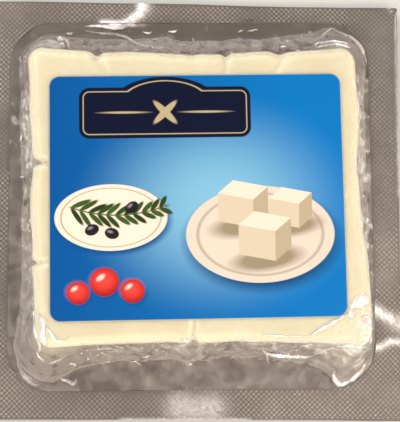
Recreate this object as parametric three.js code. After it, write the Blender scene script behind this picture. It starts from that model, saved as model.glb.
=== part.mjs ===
// A vacuum-packed block of feta, lying label up, in millimetres with +Z up.
// The origin is the middle of the pack's footprint, at the height of the table.
//
// The block sits in a formed pocket of clear film. The air has been drawn out, so the film lies on
// the cheese, comes down round it as a wrinkled tent and meets the grey backing web at its foot.
// Outside the pocket the two webs are welded into a flat, slightly wavy edge. A label is stuck on
// the face.
import * as THREE from "three";

// Every outline is a rounded rectangle: its middle, its turn anticlockwise in degrees, and for the
// block a lean, by which its left and right sides turn further than the other two.

// The welded edge
const PACK = { length: 131, width: 132, radius: 1.5, x: 0, y: 0, turn: 0, lean: 0 };
const SEAL_TOP = 3.4; // height of the weld's upper side above the table
const SEAL_THICKNESS = 0.9;
const SEAL_WAVE = 0.55; // how far the free edge lifts and dips
const CUT_WAVE = 0.45; // how far the knife wandered along the cut edge

// The formed pocket, as the line where the weld begins
const POCKET = { length: 114.6, width: 116.2, radius: 14, x: -0.8, y: 1.5, turn: 0.9, lean: 0 };

// The block of cheese
const BLOCK = { length: 97, width: 88, radius: 4.5, x: 0.65, y: 2.1, turn: 0.9, lean: 2 };
const BLOCK_HEIGHT = 25;
const FILM = 0.4; // both webs together, one over the cheese and one under it
const EDGE_ROUND = 3; // rounding of the block's upper edges, film included
const FOOT_ROUND = 2.6; // how far the base is rounded in at the table
const SCALLOP = 0.35; // unevenness of the block's outline

// The label
const LABEL = { length: 85.5, width: 71.3, radius: 3.2, x: 0.4, y: 1.4, turn: 1.5 };
const LABEL_THICKNESS = 0.25;
const LABEL_GAP = 0.3;

// Sides are counted anticlockwise from the one nearest the reader: front, right, back, left.
// How far the vacuum has drawn in the middle of each side of the block, in millimetres
const DRAWN_IN = [0.9, 0.2, 1.9, 0.3];
// How far out the foot of the tent lies along each side, from the block (0) to the weld (1)
const FOOT_SHARE = [0.47, 0.87, 0.72, 0.68];
const FOOT_WAVE = 0.07;
const CORNER_SHARE = 0.96; // at the corners the film never closed up
const CORNER_REACH = 5; // power by which a side's foot swings out to the corner's
const FOLD = 0.5; // depth of the upright folds in the tent

// Grooves pinched into the cheese: the side, the place along it from -1 to 1, and the size
const GROOVES = [
  { side: 3, at: -0.24, depth: 1.7, halfWidth: 2.2 },
  { side: 3, at: 0.5, depth: 1.3, halfWidth: 1.8 },
  { side: 0, at: -0.07, depth: 1.2, halfWidth: 2.0 },
];
const GROOVE_RUN = 9; // how far a groove runs in over the face before it fades
const GROOVE_SAG = 0.45; // how deep it is on the face, as a share of its depth at the edge

const SIDE_STEPS = 27;
const CORNER_STEPS = 6;

const FACE = BLOCK_HEIGHT + FILM;
const SEAL_BASE = SEAL_TOP - SEAL_THICKNESS;
const radians = THREE.MathUtils.degToRad;
const mix = THREE.MathUtils.lerp;

// A smooth uneven curve round the pack, about -1 to 1, from waves each given as [count, phase, share].
const CUT_WAVES = [[3, 0.4, 0.5], [5, 2.1, 0.3], [8, 4.4, 0.2]];
const LIFT_WAVES = [[3, 1.2, 0.45], [5, 3.7, 0.35], [9, 0.6, 0.2]];
const FOOT_WAVES = [[7, 0.9, 0.4], [13, 2.7, 0.35], [22, 5.1, 0.25]];
const FOLD_WAVES = [[17, 1.9, 0.3], [26, 0.2, 0.35], [37, 4.0, 0.35]];
const SCALLOP_WAVES = [[9, 3.1, 0.5], [16, 1.3, 0.3], [29, 5.5, 0.2]];

function unevenness(point, waves) {
  const bearing = Math.atan2(point.y - BLOCK.y, point.x - BLOCK.x);
  return waves.reduce((sum, [count, phase, share]) => sum + share * Math.sin(count * bearing + phase), 0);
}

// Half the length of a side of the block.
function halfSide(side) {
  return (side % 2 ? BLOCK.width : BLOCK.length) / 2;
}

// The places along one side, from -1 to 1, closer together at a groove.
function sidePlaces(side) {
  const grooves = GROOVES.filter((groove) => groove.side === side);
  const step = (groove) => groove.halfWidth / 2 / halfSide(side);
  const clear = (place) => grooves.every((groove) => Math.abs(place - groove.at) > 2.5 * step(groove));
  const even = Array.from({ length: SIDE_STEPS + 1 }, (_, i) => -1 + (2 * i) / SIDE_STEPS);
  const close = grooves.flatMap((groove) => [-2, -1, 0, 1, 2].map((k) => groove.at + k * step(groove)));
  return [...even.filter(clear), ...close].sort((a, b) => a - b);
}

// The stations that every ring shares: each is a place along one side or round the corner after it.
function stationsRound() {
  return [0, 1, 2, 3].flatMap((side) => [
    ...sidePlaces(side).map((place) => ({ side, place, corner: false })),
    ...Array.from({ length: CORNER_STEPS - 1 }, (_, i) => ({
      side,
      place: (i + 1) / CORNER_STEPS,
      corner: true,
    })),
  ]);
}

// The point of an outline at a station, with the outline grown outwards by grow.
function outlinePoint(outline, station, grow = 0) {
  const halfX = outline.length / 2 + grow;
  const halfY = outline.width / 2 + grow;
  const radius = Math.max(outline.radius + grow, 0.3);
  const [along, across] = station.side % 2 ? [halfY, halfX] : [halfX, halfY];
  const point = new THREE.Vector2(station.place * (along - radius), -across);
  if (station.corner) {
    const angle = radians(-90 + 90 * station.place);
    point.set(along - radius + radius * Math.cos(angle), radius - across + radius * Math.sin(angle));
  }
  const middle = new THREE.Vector2();
  point.rotateAround(middle, (station.side * Math.PI) / 2);
  point.x -= point.y * Math.tan(radians(outline.lean));
  point.rotateAround(middle, radians(outline.turn));
  return point.add(new THREE.Vector2(outline.x, outline.y));
}

// How near a station is to a corner, from 0 along the sides to 1 round the corners.
function cornering(station) {
  return station.corner ? 1 : Math.abs(station.place) ** CORNER_REACH;
}

// How deep the cheese is pinched at a station.
function pinch(station) {
  if (station.corner) return 0;
  const depths = GROOVES.filter((groove) => groove.side === station.side).map((groove) => {
    const away = (Math.abs(station.place - groove.at) * halfSide(station.side)) / groove.halfWidth;
    return groove.depth * Math.max(0, 1 - away);
  });
  return Math.max(0, ...depths);
}

// The block's outline, drawn in and scalloped, with the grooves pressed in by a share of their depth.
function blockEdge(station, grow, grooved = 0) {
  const scallop = SCALLOP * unevenness(outlinePoint(BLOCK, station, grow), SCALLOP_WAVES);
  const drawnIn = station.corner ? 0 : DRAWN_IN[station.side] * (1 - station.place ** 2);
  return outlinePoint(BLOCK, station, grow + scallop - drawnIn - grooved * pinch(station));
}

// The foot of the tent, where the clear film comes down on the backing web.
function tentFoot(station) {
  const near = blockEdge(station, 0);
  const side = station.corner ? CORNER_SHARE : FOOT_SHARE[station.side];
  const share = mix(side, CORNER_SHARE, cornering(station));
  const wave = FOOT_WAVE * (1 - cornering(station)) * unevenness(near, FOOT_WAVES);
  return near.lerp(outlinePoint(POCKET, station), share + wave);
}

// The free edge of the weld, cut a little off straight.
function cutEdge(station) {
  const plain = outlinePoint(PACK, station);
  return outlinePoint(PACK, station, -CUT_WAVE * (0.5 + 0.5 * unevenness(plain, CUT_WAVES)));
}

// A ring over the face, inset from the block's edge, or on the rounding that leads down from it.
function faceRing(inset, drop = 0) {
  const grooved = 1 - THREE.MathUtils.smoothstep(inset, 0, GROOVE_RUN);
  return (station) => {
    const point = blockEdge(station, -inset, grooved);
    const sag = GROOVE_SAG * grooved * pinch(station);
    return new THREE.Vector3(point.x, point.y, FACE - drop - sag);
  };
}

// A ring on the tent, whose height runs from 1 at the cheese's edge to 0 at the foot. The film is
// drawn in along the sides, stands straight at the corners and leaves the grooves on its way down.
function tentRing(height) {
  return (station) => {
    const near = blockEdge(station, 0, height);
    const foot = tentFoot(station);
    const outwards = foot.clone().sub(near).normalize();
    const fold = FOLD * Math.sin(Math.PI * height) * unevenness(near, FOLD_WAVES);
    const point = near.lerp(foot, (1 - height) ** mix(1.75, 0.95, cornering(station)));
    point.addScaledVector(outwards, fold);
    return new THREE.Vector3(point.x, point.y, mix(SEAL_TOP, FACE - EDGE_ROUND, height));
  };
}

// A ring of the flat skirt, from the tent's foot (0) by the start of the weld (1) to its edge (2).
function skirtRing(reach, height) {
  return (station) => {
    const weld = outlinePoint(POCKET, station);
    const share = Math.max(0, reach - 1);
    const point = reach < 1 ? tentFoot(station).lerp(weld, reach) : weld.lerp(cutEdge(station), share);
    return new THREE.Vector3(point.x, point.y, height + SEAL_WAVE * share * unevenness(point, LIFT_WAVES));
  };
}

// A ring of the underside, on the rounding below the block or on its flat base.
function baseRing(inset, height) {
  return (station) => {
    const point = outlinePoint(BLOCK, station, -inset);
    return new THREE.Vector3(point.x, point.y, height);
  };
}

// The steps of a quarter round, from its upright end to its flat one, as insets and rises.
function quarterRound(radius, steps) {
  return Array.from({ length: steps + 1 }, (_, i) => {
    const angle = (i / steps) * (Math.PI / 2);
    return { inset: radius * (1 - Math.cos(angle)), rise: radius * Math.sin(angle) };
  });
}

// A closed skin through rings of the same stations, brought to a point at each end.
function skin(rings, firstPoint, lastPoint) {
  const stations = stationsRound();
  const count = stations.length;
  const points = [firstPoint, ...rings.flatMap((ring) => stations.map(ring)), lastPoint];
  const lastRing = 1 + (rings.length - 1) * count;
  const triangles = [];
  for (let i = 0; i < count; i += 1) {
    const next = (i + 1) % count;
    triangles.push(0, 1 + i, 1 + next);
    for (let inner = 1; inner < lastRing; inner += count) {
      const outer = inner + count;
      triangles.push(inner + i, outer + i, outer + next, inner + i, outer + next, inner + next);
    }
    triangles.push(lastRing + i, points.length - 1, lastRing + next);
  }
  const geometry = new THREE.BufferGeometry().setFromPoints(points);
  geometry.setIndex(triangles);
  geometry.computeVertexNormals();
  return geometry;
}

function sealedPackGeometry() {
  const shoulder = quarterRound(EDGE_ROUND, 4).reverse();
  const heel = quarterRound(FOOT_ROUND, 3);
  return skin(
    [
      ...[36, 24, 14, 9, 6, 4.4].map((inset) => faceRing(inset)),
      ...shoulder.map(({ inset, rise }) => faceRing(inset, EDGE_ROUND - rise)),
      ...[0.86, 0.7, 0.53, 0.36, 0.2, 0.08, 0].map((height) => tentRing(height)),
      ...[0.5, 1, 1.5, 2].map((reach) => skirtRing(reach, SEAL_TOP)),
      ...[2, 1.5, 1, 0.2].map((reach) => skirtRing(reach, SEAL_BASE)),
      ...heel.map(({ inset, rise }) => baseRing(inset, SEAL_BASE * (1 - rise / FOOT_ROUND))),
      ...[14, 30].map((inset) => baseRing(inset, 0)),
    ],
    new THREE.Vector3(BLOCK.x, BLOCK.y, FACE),
    new THREE.Vector3(BLOCK.x, BLOCK.y, 0),
  );
}

function labelGeometry() {
  const { length, width, radius } = LABEL;
  const corner = new THREE.Vector2(length / 2 - radius, width / 2 - radius);
  const outline = new THREE.Shape();
  outline.absarc(corner.x, -corner.y, radius, -Math.PI / 2, 0, false);
  outline.absarc(corner.x, corner.y, radius, 0, Math.PI / 2, false);
  outline.absarc(-corner.x, corner.y, radius, Math.PI / 2, Math.PI, false);
  outline.absarc(-corner.x, -corner.y, radius, Math.PI, 1.5 * Math.PI, false);
  outline.closePath();
  return new THREE.ExtrudeGeometry(outline, {
    depth: LABEL_THICKNESS,
    bevelEnabled: false,
    curveSegments: 10,
  });
}

function sealedPack() {
  const mesh = new THREE.Mesh(
    sealedPackGeometry(),
    new THREE.MeshStandardMaterial({ color: 0xf7e8c1, roughness: 0.25, metalness: 0 }),
  );
  mesh.name = "sealed_pack";
  return mesh;
}

function label() {
  const mesh = new THREE.Mesh(
    labelGeometry(),
    new THREE.MeshStandardMaterial({ color: 0x0b74c8, roughness: 0.35, metalness: 0 }),
  );
  mesh.name = "label";
  mesh.position.set(LABEL.x, LABEL.y, FACE + LABEL_GAP);
  mesh.rotation.z = radians(LABEL.turn);
  return mesh;
}

const feta = new THREE.Group();
feta.add(sealedPack(), label());

export default feta;
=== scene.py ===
# A vacuum-packed block of feta, seen from above, with its clear film, knurled weld and label.
# Sizes are in millimetres until they go into a mesh, which is in metres.
import math
from collections import namedtuple

import bpy
import numpy as np
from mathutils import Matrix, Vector, noise
from mathutils.bvhtree import BVHTree


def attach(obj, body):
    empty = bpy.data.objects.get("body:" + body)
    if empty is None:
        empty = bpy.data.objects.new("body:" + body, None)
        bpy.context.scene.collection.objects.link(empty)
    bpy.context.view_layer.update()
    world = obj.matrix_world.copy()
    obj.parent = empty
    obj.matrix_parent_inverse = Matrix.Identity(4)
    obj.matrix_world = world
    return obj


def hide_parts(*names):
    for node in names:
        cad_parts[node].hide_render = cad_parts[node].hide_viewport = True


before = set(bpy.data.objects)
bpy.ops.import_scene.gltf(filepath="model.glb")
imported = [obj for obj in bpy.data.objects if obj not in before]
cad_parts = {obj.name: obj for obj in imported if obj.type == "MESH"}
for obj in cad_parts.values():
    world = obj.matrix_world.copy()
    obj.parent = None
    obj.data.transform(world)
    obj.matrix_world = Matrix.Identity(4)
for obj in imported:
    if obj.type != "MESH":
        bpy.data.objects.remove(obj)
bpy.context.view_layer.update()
mm = 0.001

# Camera
# It looks almost straight down, a little from the front and left, from about a forearm away.
camera_place = (-6.6, -25.8, 270.1)
camera_turn = (5.29, -1.86, 0.45)
camera_lens = 72.5

camera = bpy.data.objects.new("camera", bpy.data.cameras.new("camera"))
camera.location = [value * mm for value in camera_place]
camera.rotation_euler = [math.radians(value) for value in camera_turn]
camera.data.lens = camera_lens
camera.data.sensor_width = 36
camera.data.clip_start = 0.01
bpy.context.scene.collection.objects.link(camera)
bpy.context.scene.camera = camera
bpy.context.scene.view_settings.view_transform = "Standard"

# Floor and light
# A plain pale floor, a pale sky that is cool at the back left and warm at the front right, and small
# bright panels whose images make the film shine.
floor_size = 1600
floor_colour = (0.6, 0.59, 0.57, 1)
sky_cool = (0.75, 0.75, 0.775, 1)  # behind the pack and to its left
sky_warm = (1.2, 1.08, 0.97, 1)  # in front and to its right
sky_strength = 1.12
sky_warms_towards = (0.5, -0.85, 0)
sky_change = (-0.3, 0.2)  # how far that way the change starts and ends
# Each panel: where it stands, the side of its square, its power in watts and its colour
panels = {
    "right_panel": ((320, -110, 760), 70, 0.6, (1, 0.95, 0.88)),
    "back_panel": ((-270, 540, 630), 80, 0.9, (1, 0.98, 0.95)),
    "left_panel": ((-430, 330, 600), 80, 0.8, (1, 0.99, 0.97)),
    "front_left_panel": ((-420, -420, 600), 85, 0.85, (1, 0.97, 0.93)),
    "front_right_panel": ((420, -460, 600), 85, 0.9, (1, 0.97, 0.92)),
}


def node(tree, kind, inputs=None, **settings):
    """Adds a node. Each input, by its name or number, takes a value or another node's output."""
    added = tree.nodes.new(kind)
    for name, value in settings.items():
        setattr(added, name, value)
    for key, value in (inputs or {}).items():
        if isinstance(value, bpy.types.NodeSocket):
            tree.links.new(value, added.inputs[key])
        else:
            added.inputs[key].default_value = value
    return added


def remap(tree, value, low, high, to_low=0.0, to_high=1.0, **settings):
    """Maps a value from one range to another."""
    inputs = {"Value": value, "From Min": low, "From Max": high, "To Min": to_low, "To Max": to_high}
    return node(tree, "ShaderNodeMapRange", inputs, **settings).outputs["Result"]


def blended(tree, share, under, over):
    """A share of one colour laid over another."""
    return node(tree, "ShaderNodeMix", {0: share, 6: under, 7: over}, data_type="RGBA").outputs[2]


def new_material(name):
    """A material and its empty tree."""
    material = bpy.data.materials.new(name)
    material.use_nodes = True
    material.node_tree.nodes.clear()
    return material, material.node_tree


def finish_with(tree, shader):
    node(tree, "ShaderNodeOutputMaterial", {"Surface": shader.outputs[0]})


half_floor = floor_size * mm / 2
floor_corners = [(x * half_floor, y * half_floor, 0) for x, y in ((-1, -1), (1, -1), (1, 1), (-1, 1))]
floor_mesh = bpy.data.meshes.new("floor")
floor_mesh.from_pydata(floor_corners, [], [(0, 1, 2, 3)])
floor_material, tree = new_material("pale_floor")
finish_with(tree, node(tree, "ShaderNodeBsdfPrincipled", {"Base Color": floor_colour, "Roughness": 0.7}))
floor_mesh.materials.append(floor_material)
floor = bpy.data.objects.new("floor", floor_mesh)
bpy.context.scene.collection.objects.link(floor)

world = bpy.data.worlds.new("studio")
world.use_nodes = True
tree = world.node_tree
heading = node(tree, "ShaderNodeTexCoord").outputs["Generated"]
towards = node(tree, "ShaderNodeVectorMath", {0: heading, 1: sky_warms_towards}, operation="DOT_PRODUCT")
warmth = remap(tree, towards.outputs["Value"], *sky_change)
background = tree.nodes["Background"]
background.inputs["Strength"].default_value = sky_strength
tree.links.new(blended(tree, warmth, sky_cool, sky_warm), background.inputs["Color"])
bpy.context.scene.world = world

for name, (place, side, watts, colour) in panels.items():
    lamp = bpy.data.lights.new(name, "AREA")
    lamp.shape = "SQUARE"
    lamp.size = side * mm
    lamp.energy = watts
    lamp.color = colour
    panel = bpy.data.objects.new(name, lamp)
    panel.location = [value * mm for value in place]
    panel.rotation_euler = Vector(place).to_track_quat("Z", "Y").to_euler()
    bpy.context.scene.collection.objects.link(panel)

# The cheese
# A cut block of feta: dense, damp and cream, with soft edges, a few pinched grooves and a finely
# crumbled surface. Nothing fixes it; the film sucked down on it holds it.
# An outline's length runs along x and its width along y; it turns and leans by some degrees
Outline = namedtuple("Outline", "length width radius x y turn lean")
Stations = namedtuple("Stations", "side place corner")
block = Outline(97, 88, 4.5, 0.65, 2.1, 0.9, 2)
block_top = 25.0
block_base = 0.45
# How far the middle of each side is drawn in: front, right, back, left
drawn_in = np.array([0.9, 0.85, 1.9, 0.3])
# Pinched grooves: side, place along it from -1 to 1, depth and half width
grooves = [
    (3, -0.24, 2.1, 1.2),
    (3, 0.5, 1.3, 0.9),
    (0, -0.07, 1.1, 1.1),
    (2, 0.64, 1.1, 2.0),
    (2, 0.0, 0.4, 2.4),
    (2, -0.226, 0.9, 1.5),
    (2, -0.59, 0.8, 2.6),
]
groove_run = 9  # how far in from the edge a groove has run out
# Places where the block bulges: side, place along it, how far and half width
bulges = [(1, -0.68, 1.3, 17), (1, 0.6, 0.9, 13), (3, 0.6, 0.7, 13), (3, 0.1, 0.7, 9)]
groove_sag = 0.9  # how deep a groove is on the face, as a share of its depth at the edge
scallop = 0.35  # how far the edge wanders in and out
# Waves: how many go round the pack, where they start in radians, and their share
scallop_waves = [(9, 3.1, 0.5), (16, 1.3, 0.3), (29, 5.5, 0.2)]
shoulder_round = 3.0
heel_round = 2.4
film_gap = 0.12  # between the cheese and the film
pressed_flat = 0.1  # the roughness left standing under the block
# How far in from the block's edge the rings of its mesh lie, on its face and under it
face_insets = (40, 32, 25, 19, 14, 11, 9, 7.4, 6, 5, 4, 3.4)
base_insets = (8, 16, 26, 38)
crumbs = [(0.16, 4.5, 3), (0.07, 1.3, 8)]  # how far the surface is roughened, at what size, and a seed
cheese_tints = [(0.35, (0.83, 0.755, 0.53)), (0.65, (0.88, 0.82, 0.62))]


def stations_round(side_steps, corner_steps):
    """Places round the pack that every ring of a mesh shares, anticlockwise from the front left."""
    side, place, corner = [], [], []
    for number in range(4):
        along = np.linspace(-1, 1, side_steps + 1)
        round_corner = np.arange(1, corner_steps) / corner_steps
        side += [number] * (len(along) + len(round_corner))
        place += [*along, *round_corner]
        corner += [False] * len(along) + [True] * len(round_corner)
    return Stations(np.array(side), np.array(place), np.array(corner))


def turned(x, y, degrees):
    angle = np.radians(degrees)
    return x * np.cos(angle) - y * np.sin(angle), x * np.sin(angle) + y * np.cos(angle)


def follow(outline, stations, grow=0.0):
    """The points of an outline at the stations, with the outline grown outwards."""
    half_x = outline.length / 2 + grow
    half_y = outline.width / 2 + grow
    radius = np.maximum(outline.radius + grow, 0.3)
    odd = stations.side % 2 == 1
    along = np.where(odd, half_y, half_x)
    across = np.where(odd, half_x, half_y)
    angle = np.radians(90 * stations.place - 90)
    x = np.where(stations.corner, along - radius + radius * np.cos(angle), stations.place * (along - radius))
    y = np.where(stations.corner, radius - across + radius * np.sin(angle), -across)
    x, y = turned(x, y, stations.side * 90)
    x, y = turned(x - y * math.tan(math.radians(outline.lean)), y, outline.turn)
    return np.stack([x + outline.x, y + outline.y], axis=1)


def unevenness(points, waves):
    """A smooth uneven curve round the pack, about -1 to 1."""
    bearing = np.arctan2(points[:, 1] - block.y, points[:, 0] - block.x)
    return sum(share * np.sin(count * bearing + phase) for count, phase, share in waves)


def pinch(stations):
    """How deep the cheese is pinched at each station."""
    depth = np.zeros(len(stations.side))
    for side, place, deep, half_width in grooves:
        half = (block.width if side % 2 else block.length) / 2
        away = np.abs(stations.place - place) * half / half_width
        here = (stations.side == side) & ~stations.corner
        depth = np.maximum(depth, np.where(here, deep * np.exp(-1.6 * away**2), 0))
    return depth


def swollen(stations):
    """How far the cheese bulges at each station."""
    swell = np.zeros(len(stations.side))
    for side, place, far, half_width in bulges:
        half = (block.width if side % 2 else block.length) / 2
        at_end = np.where(stations.corner, -1.0, stations.place)
        away = np.abs(at_end - place) * half / half_width
        here = (stations.side == side) & ~stations.corner | (stations.side == side - 1) & stations.corner
        swell += np.where(here, far * np.exp(-(away**2)), 0)
    return swell


def block_edge(stations, grow, grooved=0.0):
    """The block's outline, drawn in and scalloped, with the grooves pressed in and the bulges out."""
    uneven = scallop * unevenness(follow(block, stations, grow), scallop_waves)
    hollow = np.where(stations.corner, 0, drawn_in[stations.side] * (1 - stations.place**2))
    shaped = grooved * (swollen(stations) - pinch(stations))
    return follow(block, stations, grow + uneven - hollow + shaped)


def with_height(points, height):
    return np.column_stack([points, np.broadcast_to(height, len(points))])


def linked(name, mesh):
    thing = bpy.data.objects.new(name, mesh)
    bpy.context.scene.collection.objects.link(thing)
    return thing


def skin(name, rings, material, looped=False, capped=(True, True)):
    """A smooth mesh through rings of the same stations: run round and back to its first ring, or
    brought to a point at each end that is capped."""
    count = len(rings[0])
    points = np.concatenate(rings)
    faces = []
    for ring in range(len(rings) if looped else len(rings) - 1):
        inner = ring * count
        outer = (ring + 1) % len(rings) * count
        for i in range(count):
            j = (i + 1) % count
            faces.append((inner + i, outer + i, outer + j, inner + j))
    last = (len(rings) - 1) * count
    first_capped, last_capped = (False, False) if looped else capped
    if first_capped:
        middle = len(points)
        points = np.vstack([points, rings[0].mean(axis=0)])
        faces += [(middle, i, (i + 1) % count) for i in range(count)]
    if last_capped:
        middle = len(points)
        points = np.vstack([points, rings[-1].mean(axis=0)])
        faces += [(last + i, middle, last + (i + 1) % count) for i in range(count)]
    mesh = bpy.data.meshes.new(name)
    mesh.from_pydata((points * mm).tolist(), [], faces)
    mesh.shade_smooth()
    mesh.materials.append(material)
    return linked(name, mesh)


def roughened(points, amount, size, seed):
    """Moves points about by a turbulent noise of that size, in millimetres."""
    offset = Vector((seed * 17.3, seed * 5.9, seed * 11.1))
    moves = [noise.turbulence_vector(Vector(p) / size + offset, 3, False) for p in points]
    return points + amount * np.array(moves)


def quarter_round(radius, steps):
    """Insets and rises of a quarter round, from its upright end to its flat one."""
    angles = np.linspace(0, math.pi / 2, steps + 1)
    return [(radius * (1 - math.cos(a)), radius * math.sin(a)) for a in angles]


def ramp(tree, share, stops):
    """The colour at a share of the way through stops of position and colour."""
    added = node(tree, "ShaderNodeValToRGB", {"Fac": share})
    elements = added.color_ramp.elements
    for element, (position, colour) in zip(elements, (stops[0], stops[-1])):
        element.position = position
        element.color = (*colour, 1)
    for position, colour in stops[1:-1]:
        elements.new(position).color = (*colour, 1)
    return added.outputs["Color"]


def cheese_material():
    """Cream with a faint mottle, light soaking a little way in, and fine pits."""
    material, tree = new_material("feta")
    place = node(tree, "ShaderNodeTexCoord").outputs["Object"]
    mottle = node(tree, "ShaderNodeTexNoise", {"Vector": place, "Scale": 70, "Detail": 5, "Roughness": 0.6})
    pits = node(tree, "ShaderNodeTexVoronoi", {"Vector": place, "Scale": 620})
    pit_depth = remap(tree, pits.outputs["Distance"], 0.05, 0.4)
    bump = node(tree, "ShaderNodeBump", {"Height": pit_depth, "Strength": 0.25, "Distance": 0.3 * mm})
    looks = {
        "Base Color": ramp(tree, mottle.outputs["Fac"], cheese_tints),
        "Roughness": 0.5,
        "Subsurface Weight": 0.25,
        "Subsurface Radius": (1.0, 0.75, 0.4),
        "Subsurface Scale": 3 * mm,
        "Normal": bump.outputs["Normal"],
    }
    finish_with(tree, node(tree, "ShaderNodeBsdfPrincipled", looks))
    return material


cheese_stations = stations_round(110, 9)
cheese_rings = [(inset, block_top, inset) for inset in face_insets]
for inset, rise in reversed(quarter_round(shoulder_round, 7)):
    cheese_rings.append((inset, block_top - shoulder_round + rise, inset))
for height in np.linspace(block_top - shoulder_round, block_base + heel_round, 22)[1:]:
    cheese_rings.append((0.0, height, 0.0))
for inset, rise in quarter_round(heel_round, 4)[1:]:
    cheese_rings.append((inset, block_base + heel_round - rise, groove_run))
for inset in base_insets:
    cheese_rings.append((inset, block_base, groove_run))
cheese_shape = []
for inset, height, fade in cheese_rings:
    grooved = 1 - np.clip(fade / groove_run, 0, 1) ** 2
    edge = block_edge(cheese_stations, -inset - film_gap, grooved)
    sag = groove_sag * grooved * pinch(cheese_stations) if height > block_top - shoulder_round else 0
    crumbly = with_height(edge, height - sag)
    for amount, size, seed in crumbs:
        crumbly = roughened(crumbly, amount, size, seed)
    crumbly[:, 2] = np.clip(crumbly[:, 2], block_base - pressed_flat, block_top + film_gap)
    cheese_shape.append(crumbly)
cheese = skin("feta_block", cheese_shape, cheese_material())
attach(cheese, "root")
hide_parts("sealed_pack")

# The backing web
# A sheet of grey laminated film that the block stands on. It runs out flat all round, dips under
# the block as far as the table, and is welded to the clear film at its rim.
pocket = Outline(114.6, 116.2, 14, -0.8, 1.5, 0.9, 0)  # where the weld begins
web_top = 3.05
web_thickness = 0.3
web_reach = 1.5  # how far it runs in between the weld's two faces
web_dip = 2.8  # run of the slope by which it dips under the block
web_ripple = 0.12
web_ripple_size = 6
# The painted highlight's white and metallic, where the weld flares
painted_gleam_white = (0.92, 0.88, 0.85, 1)
painted_gleam_metallic = 0.9


def satin_grey(name, roughness, metallic, dark, light, bump_distance=0.05):
    """Grey laminate with a faint cloudiness and a satin shine; an attribute says where a painted highlight
    whitens it.
    """
    material, tree = new_material(name)
    place = node(tree, "ShaderNodeTexCoord").outputs["Object"]
    cloud = node(tree, "ShaderNodeTexNoise", {"Vector": place, "Scale": 45, "Detail": 6}).outputs["Fac"]
    ripple = node(tree, "ShaderNodeTexNoise", {"Vector": place, "Scale": 260, "Detail": 3}).outputs["Fac"]
    painted_gleam = node(tree, "ShaderNodeAttribute", attribute_name="painted_gleam").outputs["Fac"]
    bump = node(tree, "ShaderNodeBump", {"Height": ripple, "Strength": 0.5, "Distance": bump_distance * mm})
    looks = {
        "Base Color": blended(tree, painted_gleam, ramp(tree, cloud, [(0.3, dark), (0.7, light)]), painted_gleam_white),
        "Metallic": remap(tree, painted_gleam, 0, 1, metallic, painted_gleam_metallic),
        "Roughness": roughness,
        "Normal": bump.outputs["Normal"],
    }
    finish_with(tree, node(tree, "ShaderNodeBsdfPrincipled", looks))
    return material


def waved(points, size, level):
    """A smooth rise and fall at points seen from above, about -1 to 1. Each level gives another one."""
    return np.array([noise.noise(Vector((x / size, y / size, level))) for x, y in points[:, :2]])


web_stations = stations_round(110, 10)
web_lines = []
for grow in (-40, -24, -12, -5):
    web_lines.append(with_height(follow(block, web_stations, grow), web_thickness))
for inset, rise in reversed(quarter_round(web_dip, 5)):
    dipped = web_top - (web_top - web_thickness) * rise / web_dip
    web_lines.append(with_height(follow(block, web_stations, 1.0 - inset), dipped))
near_block = follow(block, web_stations, 1.0)
at_rim = follow(pocket, web_stations, web_reach)
for share in np.linspace(0.1, 1, 16):
    flat = with_height(near_block + (at_rim - near_block) * share, web_top)
    flat[:, 2] += web_ripple * waved(flat, web_ripple_size, web_top / web_ripple_size)
    web_lines.append(flat)
under = [line - np.array([0, 0, web_thickness]) for line in reversed(web_lines)]
web_grey = satin_grey("web_grey", 0.38, 0.35, (0.104, 0.085, 0.067), (0.138, 0.114, 0.091))
web = skin("backing_web", web_lines + under, web_grey)
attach(web, "root")
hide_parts("sealed_pack")

# The welded edge
# Both webs pressed together between heated plates cut with a diamond pattern, which leaves a net
# of fine raised lines with a bead at each crossing. The weld is trimmed a little off straight, has
# sprung wavy, and is creased across in places.
pack = Outline(131, 132, 0.7, 0, 0, 0, 0)  # where it is cut off
seal_top = 3.4
seal_thickness = 0.4
seal_wave = 0.55  # how far the cut edge has sprung up or down
seal_ripple = 0.3
seal_ripple_size = 9
seal_sunk = 0.15  # how far the weld lies below the film beside it
cut_wave = 0.45  # how far in the cut wanders
lift_waves = [(3, 1.2, 0.45), (5, 3.7, 0.35), (9, 0.6, 0.2)]
cut_waves = [(3, 0.4, 0.5), (5, 2.1, 0.3), (8, 4.4, 0.2)]
net_pitch = 1.12
net_line = 0.115  # radius of a raised line
net_bead = 0.255  # radius of the bead at a crossing
bead_stretch = (1.55, 0.85, 1)
bead_sizes = (0.7, 1.15)  # the smallest and the largest, beside the plain one
bead_patches = (0.5, 1.05)  # what its size falls and rises to from one stretch to the next
net_worn = (-0.07, 0.03)  # how far the net has sunk and stands up in patches
bead_turn_line = -50  # in front of this the beads lie along the other diagonal
net_margin = 0.35
net_reach = 200  # side of the square that the net is cut from
# Creases across the weld: their points seen from above, half width and height
weld_creases = [
    ([(-17.3, 66.5), (-17, 64.3), (-17.3, 62.7), (-19.8, 61), (-23, 59), (-29.7, 59)], 1.5, 0.5),
    ([(56.5, -31), (58.7, -32.5), (61.8, -34.4), (66, -38)], 1.8, 0.4),
    ([(56.3, -43.7), (59.5, -42.5), (62, -41.2), (66, -41.5)], 1.2, 0.35),
    ([(61.6, 66.5), (63.4, 64.9), (64.7, 63.9), (66.5, 65)], 0.4, 0.2),
]
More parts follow.
